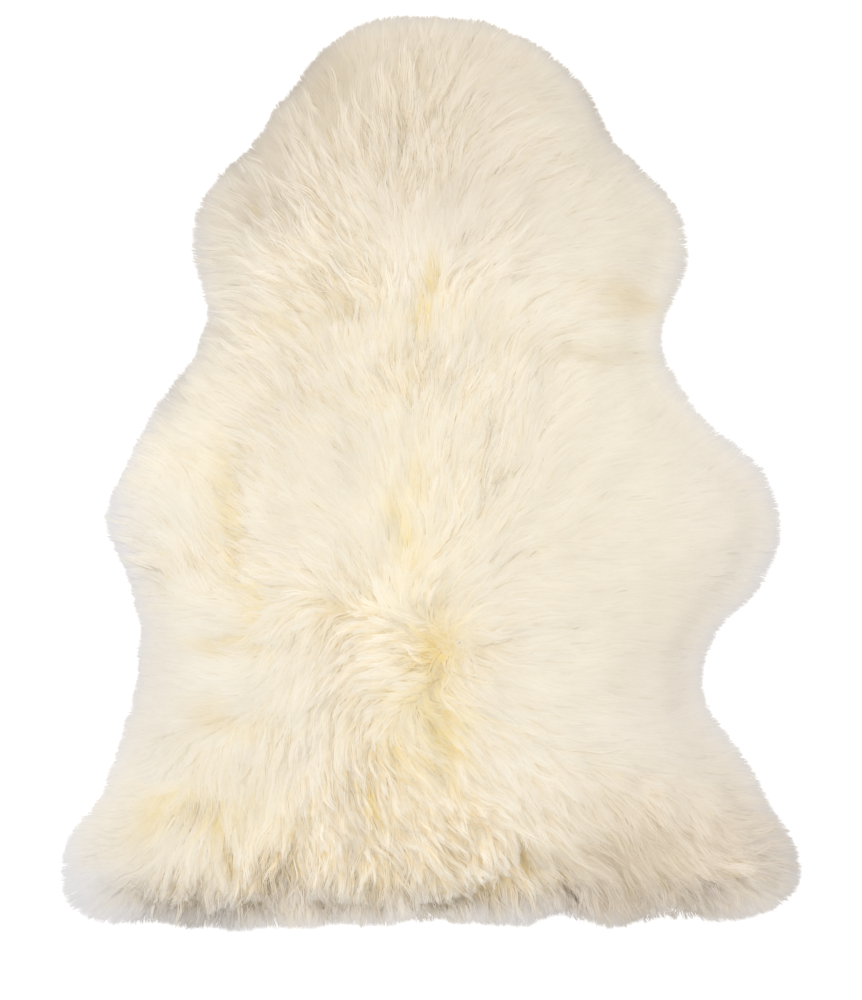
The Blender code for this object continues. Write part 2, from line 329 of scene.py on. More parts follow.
def makeComb():
    total = np.full(floorX.shape, 1e-12)
    found = {"lieX": 0, "lieY": 0, "clump": 0, "wave": 0}
    for _, x, y, lie, clump, wave in combRows:
        away = np.hypot(floorX - x * mm, floorY - y * mm) / comb["reach"]
        weight = np.exp(-away ** 2) + comb["farWeight"] * np.exp(-comb["farFall"] * away ** 2)
        total += weight
        found["lieX"] = found["lieX"] + weight * math.cos(math.radians(lie))
        found["lieY"] = found["lieY"] + weight * math.sin(math.radians(lie))
        found["clump"] = found["clump"] + weight * clump
        found["wave"] = found["wave"] + weight * wave * mm
    lieX, lieY = found["lieX"] / total, found["lieY"] / total
    # where the comb's ways meet, the wool tangles instead of parting to the skin
    rng = np.random.default_rng(7)
    grids["tangle"] = np.exp(-(np.hypot(lieX, lieY) / comb["tangle"]) ** 2)
    lieX = lieX + comb["swirl"] * swells(rng, comb["swirlSize"])
    lieY = lieY + comb["swirl"] * swells(rng, comb["swirlSize"])
    # the wool splays outwards over the rim
    splay = comb["splay"] * np.clip(1 - grids["inside"] / comb["splayWidth"], 0, 1)
    lieX, lieY = lieX + splay * grids["outX"], lieY + splay * grids["outY"]
    size = np.hypot(lieX, lieY) + 1e-9
    grids["lieX"], grids["lieY"] = lieX / size, lieY / size
    patches = comb["patchMiddle"] + comb["patchSpread"] * swells(rng, comb["patchSize"])
    patches = np.clip(patches, 0.3, 1.5)
    inFringe = np.clip((grids["inside"] + fields["overhang"]) / comb["fringeWidth"], 0, 1)
    fringe = upFrom(comb["fringeClump"], inFringe)
    grids["clump"] = np.clip(found["clump"] / total * patches, 0, 1.3) * fringe
    grids["wave"] = found["wave"] / total * upFrom(0.5, patches)


makeComb()


def makeReach():
    grids["reach"] = np.zeros(floorX.shape)
    for _, x, y, halfSize, further in reachRows:
        away = np.hypot(floorX - x * mm, floorY - y * mm) / (halfSize * mm)
        grids["reach"] += further * mm * np.exp(-away ** 2)


makeReach()


def makeCreases():
    rng = np.random.default_rng(23)
    strays = [swells(rng, creaseShape["straySize"]) for _ in range(2)]
    nearest = np.full(floorX.shape, 1.0)
    deepest = np.minimum(grids["height"], creaseShape["floor"])
    grids["crease"] = np.full(floorX.shape, 1.0)    # signed distance, under 0 past the tufts
    grids["hollow"] = np.zeros(floorX.shape)
    grids["heeded"] = np.zeros(floorX.shape)
    for _, rise, drop, stray, heeded, points in creaseRows:
        xs, ys = floorX + stray * mm * strays[0], floorY + stray * mm * strays[1]
        line = np.array(points) * mm
        lengths = np.hypot(*np.diff(line, axis=0).T)
        total = lengths.sum()
        away = np.full(xs.shape, 1.0)
        side, gone = np.ones(xs.shape), np.zeros(xs.shape)
        for (ax, ay), (bx, by), length, before in zip(line[:-1], line[1:], lengths,
                                                      np.cumsum(lengths) - lengths):
            runX, runY = (bx - ax) / length, (by - ay) / length
            share = np.clip((xs - ax) * runX + (ys - ay) * runY, 0, length)
            offX, offY = xs - ax - share * runX, ys - ay - share * runY
            far = np.hypot(offX, offY)
            closer = far < away
            away = np.where(closer, far, away)
            side = np.where(closer, np.where(runX * offY - runY * offX >= 0, 1, -1), side)
            gone = np.where(closer, before + share, gone)
        taper = np.clip(np.minimum(gone, total - gone) / creaseShape["taper"], 0, 1)
        tuft = rise * np.exp(-(away / creaseShape["tuft"]) ** 2)
        hollow = np.exp(-(away / creaseShape["hollow"]) ** 2)
        grids["height"] += taper * mm * np.where(side > 0, tuft, -drop * hollow)
        # painted shade in the hollow past the tufts, deeper with the drop
        grids["hollow"] += np.where(side < 0, taper * hollow * drop / creaseShape["darkDrop"], 0)
        own = (away < nearest) & (away < creaseShape["range"]) & (taper > 0.05)
        grids["crease"] = np.where(own, side * away, grids["crease"])
        grids["heeded"] = np.where(own, heeded, grids["heeded"])
        nearest = np.minimum(nearest, away)
    grids["height"] = np.maximum(grids["height"], deepest)


makeCreases()


# how the wool's tone changes over the rug, in millimetres from its middle.
# turn: of the patch, in degrees. stain: yellow near the skin, that shows where the locks part
# cream: warmer all along. beige: browner. grey: washed out. dull: darker, partly painted shade; lighter
# below 0
# parted: how many of the upper locks are missing, so that the lower wool shows
toneRows = [
    # place, x, y, half width, half length, turn, stain, cream, beige, grey, dull, parted
    ("parting over the shoulders", -4, 152, 8, 22, -25, 1.4, 0.3, 0, 0, 0.1, 0.8),
    ("parting over the shoulders", 2, 190, 7, 16, -10, 1.2, 0.3, 0, 0, 0.1, 0.5),
    # painted shade in the creases behind the shoulders
    ("crease behind the shoulders", -84, 148, 130, 9, 0, 0.4, 0.3, 0.2, 0, 0.3, 0),
    ("crease behind the shoulders", 120, 122, 90, 9, -4, 0.2, 0.2, 0.2, 0, 0.3, 0),
    ("parting over the ribs", -14, -10, 8, 24, 0, 1.1, 0.3, 0, 0, 0, 0.4),
    ("parting over the ribs", -28, -60, 12, 34, 8, 1.3, 0.7, 0, 0, -0.3, 0.15),
    ("whorl", 10, -185, 14, 30, 0, 1.0, 0.25, 0, 0, -0.25, 0.5),
    ("below the whorl", 8, -262, 24, 40, 0, 1.0, 0.4, 0, 0, 0.05, 0.25),
    # painted shade and yellow stain in the narrow gaps below the whorl
    ("below the whorl", 12, -246, 4, 12, 15, 1.2, 0.6, 0.1, 0, 0.7, 0.8),
    ("below the whorl", 2, -262, 4, 14, 20, 1.2, 0.6, 0.1, 0, 0.7, 0.8),
    ("below the whorl", 17, -292, 4, 18, 10, 1.2, 0.6, 0.1, 0, 0.8, 0.8),
    ("below the whorl", -16, -282, 4, 14, 25, 1.2, 0.6, 0.1, 0, 0.6, 0.8),
    ("below the whorl", -30, -236, 24, 8, -20, 0.9, 0.2, 0, 0, -0.1, 0.4),
    ("below the whorl", -38, -282, 10, 26, 0, 0.7, 0.2, 0, 0, -0.1, 0.3),
    ("rump parting", -66, -334, 7, 22, 20, 1.2, 0.3, 0, 0, 0.1, 0.7),
    ("left flank", -202, -50, 10, 56, 3, 0.9, 0.4, 0.1, 0, 0.05, 0.4),
    ("left flank", -178, -140, 8, 30, -8, 0.8, 0.4, 0, 0, 0, 0.4),
    ("left loins", -205, -184, 36, 8, -6, 1.1, 0.5, 0, 0, 0.15, 0.6),
    ("left loins", -206, -254, 36, 13, 0, 0.5, 0.6, 0.3, 0, 0.1, 0.3),
    ("left rump", -276, -350, 18, 38, -38, 1.0, 0.8, 0, 0, 0.05, 0.2),
    ("left rump", -218, -352, 9, 14, 15, 1.2, 0.6, 0, 0, 0.3, 0.7),
    ("left rump", -205, -335, 50, 36, 0, 0.35, 0.5, 0, 0, 0.3, 0),
    ("spine", -20, -110, 60, 200, 0, 0.15, 0.1, 0, 0, -0.3, 0),
    ("withers", -14, 180, 50, 50, 0, 0, 0, 0, 0, -0.4, 0),
    ("back", -60, -40, 150, 260, 0, 0.1, 0.15, 0, 0, 0.15, 0),
    ("rump", 0, -350, 240, 55, 0, 0.05, 0.1, 0.1, 0, -0.3, 0),
    ("left ribs", -140, 60, 70, 80, 0, 0.1, 0, 0, 0.1, 0.2, 0),
    ("left flank", -222, -20, 28, 80, 0, 0.15, 0.25, 0, 0, 0, 0),
    ("neck", -20, 420, 180, 110, 0, 0.1, 0, 0.35, 0.1, 0.6, 0),
    ("left of neck", -110, 390, 60, 60, 0, 0.1, 0.1, 0.2, 0.1, 0.75, 0),
    ("left cheek", -185, 310, 60, 70, 0, 0, 0, 0.25, 0.25, 1.1, 0),
    ("left foreleg", -215, 220, 50, 50, 0, 0, 0.15, 0, 0.2, 0.42, 0),
    ("left shoulder", -255, 100, 36, 90, -35, 0, 0, 0.1, 0.35, 1.0, 0),
    ("right cheek's edge", 190, 345, 34, 80, 43, 0, 0, 0.1, 0.2, 0.55, 0),
    ("shoulders", 60, 270, 240, 80, 0, 0, 0.05, 0.2, 0.1, 0.35, 0),
    ("right side", 340, -40, 90, 200, 0, 0, 0, 0.4, 0.2, 0, 0),
    ("right ribs", 150, 30, 110, 110, 0, 0, 0.1, 0.1, 0, 0.1, 0),
    ("right loins", 180, -140, 90, 90, 0, 0, 0.1, 0.15, 0, 0.1, 0),
    ("right foreleg", 204, 176, 50, 20, -16, 0.3, 0.9, 0.5, 0, 0.15, 0),
    ("right stifle", 270, -230, 90, 90, 0, 0, 0, 0.35, 0.25, 0.15, 0),
    ("right hind leg", 310, -380, 120, 80, 0, 0, 0, 0.75, 0, -0.05, 0),
    ("right hind leg's edge", 352, -390, 36, 70, 20, 0, 0, 0.2, 0.35, 0.75, 0),
    ("right rump", 190, -380, 90, 50, 0, 0, 0, 0.4, 0, 0.75, 0),
    ("left side", -330, -60, 46, 130, 0, 0, 0, 0, 0.6, 0.25, 0),
    ("left thigh", -290, -220, 60, 90, 0, 0, 0, 0.05, 0.3, 0.4, 0),
    ("left hind leg", -365, -420, 44, 44, 0, 0, 0, 0, 0.8, 0.1, 0),
    ("left hind leg", -310, -380, 60, 50, 0, 0, 0, 0.15, 0.1, 0.35, 0),
    # painted shade: from here on the rows darken and brown the wool along the rump's edge, in pockets,
    # under the folds and between tufts, where the tufts shade it
    ("rump edge", 90, -446, 330, 22, 0, 0, 0, 0.35, 0.4, 0.45, 0),
    ("left rump edge", -230, -446, 80, 24, 0, 0, 0, 0.2, 0.5, 1.4, 0),
    ("pocket under the left rump", -256, -440, 14, 5, 10, 0, 0.3, 0.8, 0, 1.6, 0.9),
    ("between the left rump's tufts", -264, -416, 5, 10, 15, 0, 0.2, 0.6, 0, 1.2, 0.9),
    ("between the left rump's tufts", -232, -424, 9, 16, 10, 0, 0.1, 0.8, 0, 1.2, 0.9),
    ("between the left rump's tufts", -190, -436, 8, 12, 25, 0.4, 0.3, 0.4, 0, 1.2, 0.9),
    ("between the left rump's tufts", -206, -390, 6, 18, 25, 0.8, 0.3, 0.3, 0, 1.1, 0.9),
    ("between the rump's tufts", -166, -392, 9, 16, 0, 0.3, 0.3, 0.8, 0, 1.1, 0.9),
    ("between the rump's tufts", -164, -420, 10, 18, 0, 0.3, 0.3, 0.8, 0, 1.3, 0.9),
    ("between the rump's tufts", -150, -398, 6, 12, 20, 0.4, 0.3, 0.5, 0, 1.0, 0.8),
    ("between the rump's tufts", -112, -446, 12, 12, 0, 0, 0.1, 0.8, 0, 1.1, 0.6),
    ("between the rump's tufts", -62, -430, 10, 20, 10, 0.2, 0.2, 0.5, 0, 1.0, 0.7),
    ("between the rump's tufts", -46, -404, 8, 22, 20, 0.5, 0.3, 0.4, 0, 1.1, 0.7),
    ("between the rump's tufts", -24, -430, 6, 18, 15, 0.3, 0.3, 0.5, 0, 1.3, 0.8),
    ("under the fold", 34, -440, 44, 7, 25, 0.1, 0.2, 0.5, 0, 1.5, 0),
    ("fold in the rump", 95, -390, 4, 20, 0, 1.2, 0.5, 0.3, 0, 0.9, 0.6),
    ("pocket by the right rump", 143, -432, 7, 18, 38, 0, 0.2, 1.0, 0, 1.6, 0.9),
    ("under the right rump's tufts", 162, -404, 34, 16, -35, 0, 0, 0.8, 0, 0.5, 0.1),
    ("right rump's edge", 190, -432, 60, 26, 0, 0, 0, 0.5, 0, 0.6, 0),
    ("between the right rump's locks", 182, -366, 3, 24, 45, 0.8, 0.3, 0.2, 0, 0.4, 0.6),
    ("between the right rump's locks", 196, -420, 5, 26, 45, 0.3, 0.2, 0.5, 0, 0.8, 0.6),
    ("between the right rump's locks", 240, -420, 5, 26, 45, 0.3, 0.2, 0.5, 0, 0.8, 0.6),
    ("right rump edge", 250, -452, 60, 8, 12, 0, 0, 0.8, 0, 0.9, 0),
]
toneKinds = ("stain", "cream", "beige", "grey", "darkAndShade", "parted")
toneLimits = {"stain": (0, 1.2), "darkAndShade": (-0.4, 1.8)}
toneShape = {
    "warpSize": 12 * mm,          # size of the swings in a patch's edge
    "warp": 8 * mm,               # their depth, on patches at least as wide as the next
    "fullWidth": 24,
    "rimWidth": 34 * mm,          # the rim's wool is thin and washed out over this width
    "rimGrey": 0.9,
    "headEnd": 430 * mm,          # the rim's painted shade is darkest about the head end, and pale on the left
    "headReach": 190 * mm,
    "leftFrom": 60 * mm,
    "leftWidth": 200 * mm,
}


def makeTones():
    # uneven edges for the patches
    rng = np.random.default_rng(11)
    warps = [swells(rng, toneShape["warpSize"]) for _ in range(3)]
    found = {name: np.zeros(floorX.shape) for name in toneKinds}
    for _, x, y, halfWidth, halfLength, turn, *amounts in toneRows:
        turned = math.radians(turn)
        bend = toneShape["warp"] * min(halfWidth / toneShape["fullWidth"], 1)
        offX = floorX - x * mm + bend * warps[0]
        offY = floorY - y * mm + bend * warps[1]
        across = (offX * math.cos(turned) + offY * math.sin(turned)) / (halfWidth * mm)
        onward = (offY * math.cos(turned) - offX * math.sin(turned)) / (halfLength * mm)
        patch = np.exp(-across ** 2 - onward ** 2)
        for name, amount in zip(toneKinds, amounts):
            found[name] += amount * patch
    rim = np.clip(1 - (grids["inside"] + fields["overhang"]) / toneShape["rimWidth"], 0, 1)
    headness = np.exp(-((floorY - toneShape["headEnd"]) / toneShape["headReach"]) ** 2)
    leftness = np.clip((-floorX - toneShape["leftFrom"]) / toneShape["leftWidth"], 0, 1) * (1 - headness)
    # painted shade on the rim's fringe, strongest about the head end and gone on the left
    grids["fringe"] = rim ** 4 * upFrom(0.3, headness) * (1 - leftness)
    found["grey"] += toneShape["rimGrey"] * rim ** 1.3
    # painted shade towards the rim and in the creases' hollows; darker and lighter at random where the wool
    # is clumped
    found["darkAndShade"] += 0.1 * rim + 0.1 * warps[2] * grids["clump"] + 0.7 * grids["hollow"]
    for name in toneKinds:
        grids[name] = np.clip(found[name], *toneLimits.get(name, (0, 1)))


makeTones()
print("comb and tones laid out")


# the strands

def combPath(x, y, length, turn, steps):
    # follows the comb from each root: places along it, and the way it runs there
    places = np.empty((len(x), steps + 1, 2))
    ways = np.empty_like(places)
    cosTurn, sinTurn = np.cos(turn), np.sin(turn)
    x, y = x.copy(), y.copy()
    for k in range(steps + 1):
        lieX, lieY = look("lieX", x, y), look("lieY", x, y)
        wayX = lieX * cosTurn - lieY * sinTurn
        wayY = lieX * sinTurn + lieY * cosTurn
        size = np.hypot(wayX, wayY) + 1e-9
        places[:, k, 0], places[:, k, 1] = x, y
        ways[:, k, 0], ways[:, k, 1] = wayX / size, wayY / size
        x = x + wayX / size * length / steps
        y = y + wayY / size * length / steps
    return places, ways


def along(path, share):
    # values of a per-step array (locks, steps, n) at each strand's own shares of the way
    steps = path.shape[1] - 1
    place = np.clip(share * steps, 0, steps - 1e-6)
    low = place.astype(int)
    part = (place - low)[..., None]
    rows = np.arange(len(path))[:, None]
    return path[rows, low] * (1 - part) + path[rows, low + 1] * part


def meshFrom(name, points, triangles, normals=None, values=None):
    mesh = bpy.data.meshes.new(name)
    mesh.vertices.add(len(points))
    mesh.vertices.foreach_set("co", points.astype(np.float32).ravel())
    mesh.loops.add(triangles.size)
    mesh.loops.foreach_set("vertex_index", triangles.astype(np.int32).ravel())
    mesh.polygons.add(len(triangles))
    mesh.polygons.foreach_set("loop_start", np.arange(0, triangles.size, 3, dtype=np.int32))
    mesh.update(calc_edges=True)
    mesh.shade_smooth()
    if normals is not None:
        mesh.normals_split_custom_set_from_vertices(normals.astype(np.float32))
    for key, value in (values or {}).items():
        kind, field = ("FLOAT", "value") if value.ndim == 1 else ("FLOAT_VECTOR", "vector")
        attribute = mesh.attributes.new(key, kind, "POINT")
        attribute.data.foreach_set(field, value.astype(np.float32).ravel())
    piece = bpy.data.objects.new(name, mesh)
    bpy.context.scene.collection.objects.link(piece)
    return piece


def scatter(spacing, low, high, leastClump, rng):
    # roots on a jittered staggered grid, where the distance in from the rim is between low and high
    xs, ys = grids["xs"], grids["ys"]
    rowStep = spacing * math.sqrt(3) / 2
    rows = np.arange(ys[0], ys[-1], rowStep)
    columns = np.arange(xs[0], xs[-1], spacing)
    x, y = np.meshgrid(columns, rows, indexing="ij")
    x = x + spacing / 2 * (np.arange(len(rows)) % 2)[None, :]
    x, y = x.ravel(), y.ravel()
    x = x + rng.uniform(-0.5, 0.5, len(x)) * spacing
    y = y + rng.uniform(-0.5, 0.5, len(y)) * spacing
    inside = look("inside", x, y)
    clumped = look("clump", x, y) + rng.uniform(-0.25, 0.25, len(x))
    keep = (inside > low) & (inside < high) & ((clumped >= leastClump) | (leastClump == 0))
    return x[keep], y[keep]


# painted shade between locks is warmer than the wool: red, green and blue fall off by these powers
shadeWarmth = (1.0, 1.17, 1.5)


strandShape = {
    "steps": 12,                  # places along a lock's path
    "shortLock": 0.75,            # lengths, crimps and widths run between these shares
    "longLock": 1.2,
    "leastCrimp": 0.8,
    "mostCrimp": 1.25,
    "thinStrand": 0.75,
    "thickStrand": 1.25,
    "tangleTurn": 0.9,            # radians of stray where the comb's ways meet
    "combedStray": 0.45,          # a coat's stray is this many times its value where combed smooth
    "leastRelief": 0.08,          # shares that wool combed smooth keeps: of a coat's relief,
    "leastThick": 0.3,            # of its locks' thickness,
    "leastRounding": 0.1,         # of their rounding in the shading,
    "leastStray": 0.3,            # of the stray in it,
    "leastUneven": 0.25,          # of the unevenness in its tones,
    "leastShade": 0.04,           # of the strands that cast shade
    "leastRoot": 0.35,            # and of the root's own colour
    "emerge": 2.2,                # a strand is out of the undercoat at 1 / this of its way
    "droopFrom": 0.6,             # share of the way where the tip starts to come down
    "lowSpread": 2 * mm,          # the lowest strands lie in a layer this thick
    "fullHeight": 24 * mm,        # where the wool is thinner, it lies flatter
    "leastHeight": 0.15,
    "rootWidth": 0.7,             # a strand's width at its root, as a share of the rest
    "slope": 0.55,                # how much of the fleece's own slope the shading keeps
    "lockSlope": 0.3,             # and how much more on separate locks
    "strandTint": 0.6,            # unevenness from strand to strand, and from lock to lock
    "lockTint": 0.5,
    "warmDepth": 0.3,             # how much warmer a lock's lower strands are: the warm colour of their painted shade
    "underFrom": 0.5,             # painted shade: a coat is darker by its "under" where the clump is over this; where its "under" is below 0, it is lighter, painted light
    "fringeShade": 0.22,          # painted shade: how much darker the rim's fringe is
    "darkest": 0.3,
    "brightest": 1.2,
}


def growStrands(coat, rng):
    # every strand of a coat as arrays: centre line points, widths, and its tone
    shape = strandShape
    steps = shape["steps"]
    x, y = scatter(coat["lockSpacing"], coat["from"], coat["to"], coat["leastClump"], rng)
    locks = len(x)
    clump, wave = look("clump", x, y), look("wave", x, y)
    length = coat["length"] * rng.uniform(shape["shortLock"], shape["longLock"], locks)
    tangled = shape["tangleTurn"] * look("tangle", x, y)
    turn = rng.normal(0, 1, locks) * (coat["stray"] * (shape["combedStray"] + clump) + tangled)
    places, ways = combPath(x, y, length, turn, steps)

    # the upper locks are missing where the wool is parted
    middle = places[:, steps // 2]
    keep = rng.uniform(0, 1, locks) >= coat["parts"] * look("parted", middle[:, 0], middle[:, 1])
    x, y, clump, wave, length = x[keep], y[keep], clump[keep], wave[keep], length[keep]
    places, ways = places[keep], ways[keep]
    locks = len(x)

    # a lock ends where the wool's outline does
    insides = look("inside", places[..., 0], places[..., 1])
    insides = insides + look("reach", places[..., 0], places[..., 1])
    limit = -fields["overhang"] * coat["rimShare"] + rng.uniform(0, coat["ragged"], locks)
    beyond = insides < limit[:, None]
    # and at a crease that it meets
    sides = look("crease", places[..., 0], places[..., 1])
    near = np.abs(sides) < creaseShape["stops"]
    heeds = rng.uniform(0, 1, locks)[:, None] < look("heeded", places[..., 0], places[..., 1])
    crossed = (sides[:, :-1] > 0) & (sides[:, 1:] <= 0) & near[:, :-1] & near[:, 1:]
    beyond[:, 1:] |= crossed & heeds[:, 1:]
    ends = np.where(beyond.any(axis=1), beyond.argmax(axis=1), steps)
    ends = np.clip(ends + rng.uniform(0, 0.9, locks), 3, steps) / steps

    # the strands of each lock
    count = coat["strands"]
    lock = np.repeat(np.arange(locks), count)
    total = len(lock)
    sections = coat["sections"]
    firm = clump[lock][:, None]
    stop = ends[lock][:, None]
    start = rng.uniform(0, coat["stagger"], total)[:, None] * stop
    reach = rng.uniform(coat["shortest"], 1.0, total)[:, None] * stop
    ease = np.linspace(0, 1, sections + 1)[None, :]
    share = start + ease * (reach - start)
    spots = along(places[lock], share)
    runs = along(ways[lock], share)
    grow = share / stop                         # 0 at the root of the lock, 1 at its tip

    # spread in the lock, drawn together towards its tip
    radius = np.sqrt(rng.uniform(0, 1, total))
    around = rng.uniform(0, 2 * math.pi, total)
    drawn = 1 - firm * coat["draw"] * grow ** 1.3
    aside = (radius * np.cos(around))[:, None]
    phase = rng.uniform(0, 2 * math.pi, locks)[lock][:, None]
    crimp = coat["crimp"] * rng.uniform(shape["leastCrimp"], shape["mostCrimp"], locks)[lock][:, None]
    swing = wave[lock][:, None] * np.sin(2 * math.pi * share * length[lock][:, None] / crimp + phase)
    loose = rng.normal(0, coat["loose"], total)[:, None] * grow ** 1.5
    sideways = aside * drawn * coat["lockWidth"] / 2 + swing * np.clip(grow * 3, 0, 1) + loose
    px = spots[..., 0] - runs[..., 1] * sideways
    py = spots[..., 1] + runs[..., 0] * sideways

    # height over the floor: out of the undercoat, along the surface, then down at the tip
    relief = coat["relief"] * upFrom(shape["leastRelief"], clump)
    lift = coat["lift"] + relief * rng.uniform(-1, 1, locks)
    thick = coat["thick"] * upFrom(shape["leastThick"], firm)
    lift = lift[lock][:, None] + (radius * np.sin(around))[:, None] * thick
    ground = look("height", px, py)
    rise = coat["sunk"] * (1 - np.clip(grow * shape["emerge"], 0, 1)) ** 1.5
    tip = np.clip(grow - shape["droopFrom"], 0, 1) / (1 - shape["droopFrom"])
    low = coat["lowest"] + rng.uniform(0, shape["lowSpread"], total)[:, None]
    full = np.clip(ground / shape["fullHeight"], shape["leastHeight"], 1)
    pz = np.maximum(ground + (lift - rise - coat["droop"] * tip ** 2) * full, low)

    wide = coat["width"] * rng.uniform(shape["thinStrand"], shape["thickStrand"], total)[:, None]
    swell = upFrom(shape["rootWidth"], np.clip(ease * 6, 0, 1))
    width = wide * np.clip(1 - ease ** coat["taper"], 0, 1) * swell

    # shaded as one rounded lock, on the fleece's own slope
    rounding = aside * drawn * coat["rounding"] * upFrom(shape["leastRounding"], firm)
    stray = rng.normal(0, coat["strayShade"], (2, total, 1)) * upFrom(shape["leastStray"], firm)
    slope = shape["slope"] + shape["lockSlope"] * firm
    normal = np.stack([-slope * look("slopeX", px, py) - runs[..., 1] * rounding + stray[0],
                       -slope * look("slopeY", px, py) + runs[..., 0] * rounding + stray[1],
                       np.ones_like(px)], axis=-1)

    rootX, rootY = x[lock], y[lock]
    tint = rng.uniform(-1, 1, total)
    lockTint = rng.uniform(-1, 1, locks)
    uneven = coat["unevenness"] * upFrom(shape["leastUneven"], clump[lock])
    # wool lets light through: the smoother it lies, the fewer strands cast shade on the rest
    casts = rng.uniform(0, 1, total) < coat["shade"] * upFrom(shape["leastShade"], clump[lock])
    # those are the coat's first piece; the tufts have no other, and leave out the rest
    part = np.where(casts, 0, rng.integers(1, max(coat["pieces"], 2), total))
    # the lower coats are seen in place, the upper ones carry their tone along
    local = coat["local"]
    toneX = rootX[:, None] * (1 - local) + px * local
    toneY = rootY[:, None] * (1 - local) + py * local
    tones = np.stack([look(name, toneX, toneY) for name in toneKinds[:3]], axis=-1)
    # how high a strand lies in its lock: the lower strands get painted shade, darker and warmer
    deep = (lift - coat["lift"]) / (coat["relief"] + coat["thick"])
    tones[..., 1] = np.clip(tones[..., 1] + firm * (coat["warm"] - shape["warmDepth"] * deep), 0, 1)
    tints = shape["strandTint"] * tint + shape["lockTint"] * lockTint[lock]
    # brightness: random unevenness, and painted shade on a lock's lower strands, on clumped wool, on the
    # rim's fringe and where the tone field is darkened
    bright = (1 + (uneven * tints)[:, None] + coat["deepShade"] * firm * deep
              - coat["under"] * np.clip(firm - shape["underFrom"], 0, 1)
              - shape["fringeShade"] * look("fringe", px, py) - coat["darkAndShadeShare"] * look("darkAndShade", toneX, toneY))
    bright = np.clip(bright, shape["darkest"], shape["brightest"])[..., None]
    return {
        "centre": np.stack([px, py, pz], axis=-1), "normal": normal, "width": width,
        "out": 1 - (1 - grow) * upFrom(shape["leastRoot"], firm),
        "tint": tint, "tone": tones, "grey": look("grey", toneX, toneY),
        "shade": bright ** np.array(shadeWarmth),
        "roll": rng.normal(0, coat["roll"], total), "part": part,
    }


def ribbons(strands, name):
    # flat tapered strands, shaded by the lock that they belong to
    centre, width, normal = strands["centre"], strands["width"], strands["normal"]
    total, rings, _ = centre.shape
    run = np.gradient(centre, axis=1)
    run /= np.linalg.norm(run, axis=2, keepdims=True) + 1e-12
    side = np.cross(run, np.array([0, 0, 1.0]))
    side /= np.linalg.norm(side, axis=2, keepdims=True) + 1e-12
    up = np.cross(side, run)
    cosRoll = np.cos(strands["roll"])[:, None, None]
    sinRoll = np.sin(strands["roll"])[:, None, None]
    side, up = side * cosRoll + up * sinRoll, up * cosRoll - side * sinRoll
    half = side * width[..., None] / 2
    points = np.empty((total, 2 * rings - 1, 3))
    normals = np.empty_like(points)
    values = np.empty_like(points)
    for k in range(rings - 1):
        points[:, 2 * k] = centre[:, k] - half[:, k]
        points[:, 2 * k + 1] = centre[:, k] + half[:, k]
        normals[:, 2 * k] = normals[:, 2 * k + 1] = normal[:, k]
        for edge, place in ((0, -1.0), (1, 1.0)):
            values[:, 2 * k + edge, 0] = strands["out"][:, k]
            values[:, 2 * k + edge, 1] = place
    points[:, -1] = centre[:, -1]
    normals[:, -1] = normal[:, -1]
    values[:, -1, 0] = strands["out"][:, -1]
    values[:, -1, 1] = 0.0
    values[:, :, 2] = strands["tint"][:, None]
    normals /= np.linalg.norm(normals, axis=2, keepdims=True) + 1e-12
    carried = {key: np.repeat(strands[key], 2, axis=1)[:, :-1] for key in ("tone", "shade", "grey")}

    faces = []
    for k in range(rings - 2):
        a = 2 * k
        faces += [(a, a + 1, a + 3), (a, a + 3, a + 2)]
    last = 2 * (rings - 2)
    faces.append((last, last + 1, last + 2))
    faces = np.array(faces)
    offsets = np.arange(total)[:, None, None] * (2 * rings - 1)
    triangles = (faces[None] + offsets).reshape(-1, 3)
    piece = meshFrom(name, points.reshape(-1, 3), triangles, normals.reshape(-1, 3), {
        "strand": values.reshape(-1, 3), "tone": carried["tone"].reshape(-1, 3),
        "shade": carried["shade"].reshape(-1, 3), "grey": carried["grey"].ravel()})
    bakePlaces(piece.data, total, rings, triangles)
    return piece


def bakePlaces(mesh, total, rings, triangles):
    # a flat place of its own for each strand, side by side in rows
    slender = 4                   # each place is this many times as high as it is wide
    sideGap, endGap = 0.12, 0.04  # shares of a place that stay empty round its strand
    columns = int(math.ceil(math.sqrt(total * slender)))
    rows = int(math.ceil(total / columns))
    number = np.arange(total)
    left, bottom = (number % columns) / columns, (number // columns) / rows
    places = np.empty((total, 2 * rings - 1, 2))
    for k in range(rings - 1):
        for edge in (0, 1):
            places[:, 2 * k + edge, 0] = left + (sideGap + (1 - 2 * sideGap) * edge) / columns
            places[:, 2 * k + edge, 1] = bottom + (endGap + (1 - 2 * endGap) * k / (rings - 1)) / rows
    places[:, -1, 0] = left + 0.5 / columns
    places[:, -1, 1] = bottom + (1 - endGap) / rows
    layer = mesh.uv_layers.new(name="OFBake")
    layer.uv.foreach_set("vector", places.reshape(-1, 2)[triangles.ravel()].astype(np.float32).ravel())


def subset(strands, keep):
    return {key: value[keep] for key, value in strands.items()}


# materials

def linearColour(hexValue):
    # sRGB hex to the linear values that the shader wants
    parts = [int(hexValue[i:i + 2], 16) / 255 for i in (1, 3, 5)]
    return [c / 12.92 if c <= 0.04045 else ((c + 0.055) / 1.055) ** 2.4 for c in parts] + [1.0]


def addNode(tree, kind, settings=None, links=None):
    # links: this node's input, by name or number, to another node's output socket or a value
    node = tree.nodes.new(kind)
    for key, value in (settings or {}).items():
        setattr(node, key, value)
    for key, value in (links or {}).items():
        if isinstance(value, bpy.types.NodeSocket):
            tree.links.new(value, node.inputs[key])
        else:
            node.inputs[key].default_value = value
    return node


def newMaterial(name):
    material = bpy.data.materials.new(name)
    material.use_nodes = True
    tree = material.node_tree
    tree.nodes.clear()
    output = addNode(tree, "ShaderNodeOutputMaterial")
    return material, tree, output


